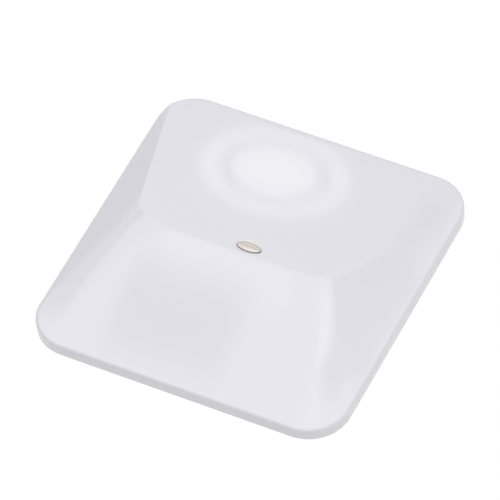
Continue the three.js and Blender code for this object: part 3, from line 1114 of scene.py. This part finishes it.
def lock_washer():
    """Twelve teeth round the outside, each twisted so that its edges bite."""
    low, high = box_of("lock_washer")
    teeth = 12
    tooth_length = 1.1
    half_gap = 0.09
    thickness = 0.55
    twist = (high[2] - low[2] - thickness) / 2
    middle = (high[2] + low[2]) / 2

    def tooth(turn):
        return (turn * teeth / (2 * math.pi) + 0.5) % 1 - 0.5

    def outer(turn):
        return np.where(np.abs(tooth(turn)) > half_gap, high[0], high[0] - tooth_length)

    def lift(turn):
        return np.sign(tooth(turn)) * (0.5 - np.abs(tooth(turn))) * 2 * twist

    def front(turn):
        return middle + thickness / 2 + lift(turn)

    def back(turn):
        return middle - thickness / 2 + lift(turn)

    inner = stem_radius + clearance
    root = high[0] - 1.5
    outline = [
        (inner, middle + thickness / 2),
        (root, middle + thickness / 2),
        (outer, front),
        (outer, back),
        (root, middle - thickness / 2),
        (inner, middle - thickness / 2),
    ]
    return turned_piece("lock_washer", "stainless", outline, count=360)


lock_washer()

# %% [markdown]
# ## The anti-drip valve
# A spring holds the poppet and its rubber seal down on a brass seat, and the water has to lift
# it. The poppet's stem slides in the web. The spring sits between the web and the poppet; here it
# is wound once, at rest, and moves with the base.

# %% Poppet and seat
near_axis = 0.05
disc_front = -24.8
disc_back = -26.6
groove_front = -30.1
groove_back = -31.3
groove_depth = 0.9


def check_poppet():
    low, high = box_of("check_poppet")
    stem = 1.5
    boss = 1
    outline = [
        (near_axis, high[2]),
        (stem - 0.3, high[2]),
        (stem, high[2] - 0.4),
        (stem, disc_front),
        (high[0], disc_front),
        (high[0], disc_back),
        (boss, disc_back),
        (boss, low[2]),
        (near_axis, low[2]),
    ]
    return turned_piece("check_poppet", "acetal", soften(outline, 0.2, False), closed=False)


def valve_seat():
    low, high = box_of("valve_seat")
    outer = high[0]
    bore = 2
    lip = 2.5
    lip_height = 0.8
    outline = [
        (bore, high[2]),
        (lip, high[2]),
        (lip + 0.3, high[2] - lip_height),
        (outer, high[2] - lip_height),
        (outer, groove_front),
        (outer - groove_depth, groove_front),
        (outer - groove_depth, groove_back),
        (outer, groove_back),
        (outer, low[2]),
        (bore, low[2]),
    ]
    return turned_piece("valve_seat", "brass", soften(outline, 0.1))


check_poppet()
valve_seat()

# %% Spring
spring_turns = 5
spring_wire = 0.35
steps_per_turn = 40
wire_facets = 12


def check_spring():
    """A round wire wound on a helix, with an end cap on each end."""
    low, high = box_of("check_spring")
    radius = high[0] - spring_wire
    start, end = low[2] + spring_wire, high[2] - spring_wire
    shell = Shell()
    t = np.linspace(0, 1, spring_turns * steps_per_turn + 1)
    turn = 2 * math.pi * spring_turns * t
    out = np.column_stack([np.cos(turn), np.sin(turn), np.zeros_like(t)])
    centre = out * radius + np.column_stack([0 * t, 0 * t, start + t * (end - start)])
    up = np.array([0, 0, 1.0])
    section = np.linspace(0, 2 * math.pi, wire_facets, endpoint=False)
    loops = []
    for c, o in zip(centre, out):
        ring = c + spring_wire * (np.outer(np.cos(section), o) + np.outer(np.sin(section), up))
        loops.append(shell.add(ring))
    shell.stack(loops[::-1])
    return shell.make("check_spring_wound", "base", "stainless", stainless, "check_spring")


spring = check_spring()
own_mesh(spring)

# %% [markdown]
# ## Fixings
# Two machine screws hold the plate to the wall box. The cross recess is a height map on the
# head, as the slot of the tip is. Four rubber grommets line the holes that the cover's posts
# push into.

# %% Screws
recess_arm = 1.5
recess_half = 0.42
recess_depth = 0.9
head_radius = 3.3
head_height = 1.6
head_rings = 28
dome_height = 0.7
dome_bow = 2.2
screw_pitch = 0.6
screw_depth = 0.3
screw_facets = 64


def recess(x, y):
    """How deep the cross is cut at a point of the head."""
    x, y = np.abs(x), np.abs(y)
    inside = np.maximum(
        np.minimum(recess_arm - x, recess_half - y), np.minimum(recess_arm - y, recess_half - x)
    )
    return recess_depth * np.clip(inside / 0.1, 0, 1)


def fixing_screw(side):
    node = "fixing_screw_" + side
    low, high = box_of(node)
    centre = ((low + high) / 2)[:2]
    seat = high[2] - head_height
    thread_radius = 1.75
    shell = Shell()
    loops = []
    for share in (np.arange(head_rings) + 0.5) / (head_rings - 0.5):
        radius = share * head_radius
        ring = ring_at(radius, 0, screw_facets)
        dome = high[2] - dome_height * share**dome_bow
        ring[:, 2] = dome - recess(ring[:, 0], ring[:, 1])
        loops.append(shell.add(ring + (*centre, 0)))
    outline = [(head_radius + 0.1, high[2] - 0.9), (head_radius + 0.1, seat + 0.15)]
    outline += [(head_radius - 0.1, seat), (thread_radius - 0.1, seat)]
    outline += thread_rows(thread_radius, screw_depth, screw_pitch, seat - 0.5, low[2] + 0.3)
    outline += [(thread_radius - 0.6, low[2])]
    loops += [shell.add(ring_at(r, z, screw_facets, centre)) for r, z in outline]
    shell.stack(loops)
    return shell.make(node + "_threaded", "base", "zinc_steel", zinc, node)


fixing_screw("left")
fixing_screw("right")

# %% Grommets
lip_thickness = 0.9
back_lip = 0.5
grommet_facets = 48


def grommet(node):
    low, high = box_of(node)
    centre = ((low + high) / 2)[:2]
    lip_radius = (high[0] - low[0]) / 2
    neck_radius = lip_radius - 1.2
    bore_radius = post_radius + 0.2
    outline = [
        (bore_radius, high[2]),
        (lip_radius - 0.4, high[2]),
        (lip_radius, high[2] - lip_thickness),
        (neck_radius, high[2] - lip_thickness),
        (neck_radius, low[2] + back_lip),
        (lip_radius, low[2] + back_lip),
        (lip_radius, low[2]),
        (bore_radius, low[2]),
    ]
    outline = soften(outline, edge_break)
    turned_piece(node, "black_rubber", outline, count=grommet_facets, centre=centre)


for row in ("lower", "upper"):
    for side in ("left", "right"):
        grommet(f"grommet_{row}_{side}")

# %% [markdown]
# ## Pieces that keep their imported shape
# The plate, the wall gasket, the strainer and the retaining ring are right as they are. Their
# seams are welded and their edges get a small bevel, because an edge that is perfectly sharp
# never catches the light.

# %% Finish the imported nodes
weld_distance = 0.002 * mm
bevel_width = 0.15 * mm


def dress(node, slot):
    piece = frame["nodes"][node]
    weld = piece.modifiers.new("weld", "WELD")
    weld.merge_threshold = weld_distance
    bevel = piece.modifiers.new("bevel", "BEVEL")
    bevel.width = bevel_width
    bevel.segments = 2
    bevel.limit_method = "ANGLE"
    bevel.angle_limit = smooth_angle
    bevel.harden_normals = True
    piece.data.materials.clear()
    piece.data.materials.append(finish_of[slot])
    print(node, "keeps its shape, in", slot)


dress("mounting_plate", "zinc_steel")
dress("wall_gasket", "gasket_foam")
dress("strainer", "stainless")
dress("retaining_ring", "stainless")

# %% [markdown]
# ## Floor, light and camera
# The head floats well above a plain pale floor, so that its shadow melts away. The floor is
# clear from underneath, so that a view from below still shows the head. The light is a soft dome
# that dims towards the horizon, which leaves the upright rim a shade darker than the faces, with
# a little more glow low down on the right and at the back.

# %% Floor
floor_drop = 0.3
floor_half = 6


def pale_floor():
    paint = Finish("floor_paint", Roughness=0.9)
    paint.shade(Base_Color=paint.cloud(200).blend((0.93, 0.93, 0.93), (0.94, 0.94, 0.94)))
    below = paint.node("ShaderNodeNewGeometry", output="Backfacing")
    surface = Value(paint, paint.shader.outputs[0])
    clear = paint.node("ShaderNodeBsdfTransparent")
    mixed = paint.node("ShaderNodeMixShader", None, {0: below, 1: surface, 2: clear})
    paint.feed(paint.tree.nodes["Material Output"].inputs["Surface"], mixed)
    mesh = bpy.data.meshes.new("floor")
    corners = [(-1, -1), (1, -1), (1, 1), (-1, 1)]
    z = cad_box[0].z - floor_drop
    mesh.from_pydata([(x * floor_half, y * floor_half, z) for x, y in corners], [], [(0, 1, 2, 3)])
    mesh.materials.append(paint.material)
    floor = placed("floor", mesh)
    return floor


floor = pale_floor()
print("the floor is", floor_drop, "m below the head")

# %% Sky
zenith = 2.06
horizon = 0.05
right_glow = 0.42
back_glow = 0.2


def soft_sky():
    world = bpy.data.worlds.new("studio")
    bpy.context.scene.world = world
    world.use_nodes = True
    sky = Nodes(world.node_tree)
    place = sky.node("ShaderNodeTexCoord", output="Generated")
    parts = [sky.node("ShaderNodeSeparateXYZ", None, {0: place}, k) for k in range(3)]
    right, back, height = [sky.node("ShaderNodeClamp", None, {0: part}) for part in parts]
    low_glow = (right * right_glow + back * back_glow) * (1 - height)
    glow = height * height * zenith + low_glow + horizon
    sky.feed(sky.tree.nodes["Background"].inputs["Strength"], glow)
    sky.tree.nodes["Background"].inputs["Color"].default_value = (1, 1, 1, 1)
    return world


sky = soft_sky()
bpy.context.scene.view_settings.view_transform = "Standard"
print("the sky's strength runs from", horizon, "to", zenith + horizon)

# %% Camera
azimuth = math.radians(31.69)
elevation = math.radians(51.84)
roll_angle = math.radians(-6.89)
distance = 1.4353
lens = 413.05
shift_x = -0.001
shift_y = 0.0196


def camera_at_rest():
    back = Vector((
        math.sin(azimuth) * math.cos(elevation),
        -math.cos(azimuth) * math.cos(elevation),
        math.sin(elevation),
    ))
    level = Vector((math.cos(azimuth), math.sin(azimuth), 0))
    upright = back.cross(level)
    right = math.cos(roll_angle) * level + math.sin(roll_angle) * upright
    up = -math.sin(roll_angle) * level + math.cos(roll_angle) * upright
    data = bpy.data.cameras.new("camera")
    data.sensor_width = 36
    data.lens = lens
    data.shift_x = shift_x
    data.shift_y = shift_y
    data.clip_start = 0.01
    camera = placed("camera", data)
    turn = Matrix((right, up, back)).transposed().to_4x4()
    camera.matrix_world = Matrix.Translation(back * distance + Vector((0, 0, rim_top * mm))) @ turn
    bpy.context.scene.camera = camera
    return camera


camera = camera_at_rest()
print("the camera is at", [round(c, 3) for c in camera.matrix_world.translation])

# %% [markdown]
# ## Lamps placed by their reflections
# Gloss shows only what it mirrors, so in a studio each lamp is moved until its reflection sits
# where it flatters the form. `mirrored` does that in one step: it follows the line of sight from
# the camera to a point of the cover, turns it back about the surface there, and gives the place
# in the room that the point mirrors. A lamp is then cut to the shape of its own reflection. The
# camera doesn't see the lamps, so that other views stay clear of them.

# %% Lamps
lamp_distance = 0.24
ring_points = 49
strip_rows = 5


def mirrored(x, y):
    """The place in the room, in metres, that points of the cover mirror to the camera."""
    small = 0.02
    z = cover_top(x, y)
    slope_x = (cover_top(x + small, y) - cover_top(x - small, y)) / (2 * small)
    slope_y = (cover_top(x, y + small) - cover_top(x, y - small)) / (2 * small)
    normal = np.column_stack([-slope_x, -slope_y, np.ones_like(x)])
    normal /= np.linalg.norm(normal, axis=1)[:, None]
    point = np.column_stack([x, y, z]) * mm
    sight = point - np.array(camera.matrix_world.translation)
    sight /= np.linalg.norm(sight, axis=1)[:, None]
    back = sight - 2 * (sight * normal).sum(axis=1)[:, None] * normal
    return point + back * lamp_distance


def lamp(name, x, y, strength):
    """A glowing sheet whose corners mirror in the grid of cover points x, y."""
    rows, width = x.shape
    corners = mirrored(x.ravel(), y.ravel())
    index = np.arange(rows * width).reshape(x.shape)
    faces = [
        (index[i, j], index[i + 1, j], index[i + 1, j + 1], index[i, j + 1])
        for i in range(rows - 1)
        for j in range(width - 1)
    ]
    mesh = bpy.data.meshes.new(name)
    mesh.from_pydata(corners.tolist(), [], [tuple(map(int, f)) for f in faces])
    black = (0, 0, 0, 1)
    white = (1, 1, 1, 1)
    glow = Finish(name, Base_Color=black, Emission_Color=white, Emission_Strength=strength)
    mesh.materials.append(glow.material)
    sheet = placed(name, mesh)
    sheet.visible_camera = False
    sheet.visible_shadow = False
    return sheet


def ring_lamp(name, centre, inner, outer, strength):
    turn = np.linspace(0, 2 * math.pi, ring_points)
    radius = np.array([[inner], [outer]])
    x = centre[0] + radius * np.cos(turn)
    y = centre[1] + radius * np.sin(turn) * ring_ratio
    return lamp(name, x, y, strength)


def strip_lamp(name, path, width, strength):
    """A lamp whose reflection is a strip along a path on the cover."""
    path = np.array(path, float)
    run = np.gradient(path, axis=0)
    across = np.column_stack([-run[:, 1], run[:, 0]]) / np.linalg.norm(run, axis=1)[:, None]
    side = np.linspace(-width / 2, width / 2, strip_rows)[:, None, None]
    points = path + across * side
    return lamp(name, points[..., 0], points[..., 1], strength)


def bent_path(points, count=24):
    """A smooth path through three points."""
    start, middle, end = np.array(points, float)
    t = np.linspace(0, 1, count)[:, None]
    return curve(start, 2 * middle - (start + end) / 2, end, t)


lamp_spot = (-6, 26.5)
ring_ratio = 0.76
ring_lamp("round_lamp", lamp_spot, inner=0.01, outer=11.3, strength=3.3)
ring_lamp("lamp_ring", lamp_spot, inner=15, outer=20, strength=2.7)
crest_path = bent_path([(-21, -5.4), (-1, -6), (16, -8.6)])
left_path = bent_path([(-25, -12), (-28, -24), (-31, -38)])
right_path = bent_path([(24, -6), (30, -20), (35, -37)])
middle_path = bent_path([(-24, -26), (-8, -25), (8, -24)])
left_side = bent_path([(-34, -2), (-37, -18), (-39, -34)])
right_side = bent_path([(41, 33), (38, 2), (39, -31)])
strip_lamp("crest_lamp", crest_path, width=4.6, strength=4.0)
strip_lamp("left_lamp", left_path, width=2.5, strength=1.6)
strip_lamp("right_lamp", right_path, width=2.5, strength=2.9)
strip_lamp("dark_card", middle_path, width=24, strength=0.05)
strip_lamp("left_card", left_side, width=7, strength=0.1)
strip_lamp("right_card", right_side, width=14, strength=0.2)
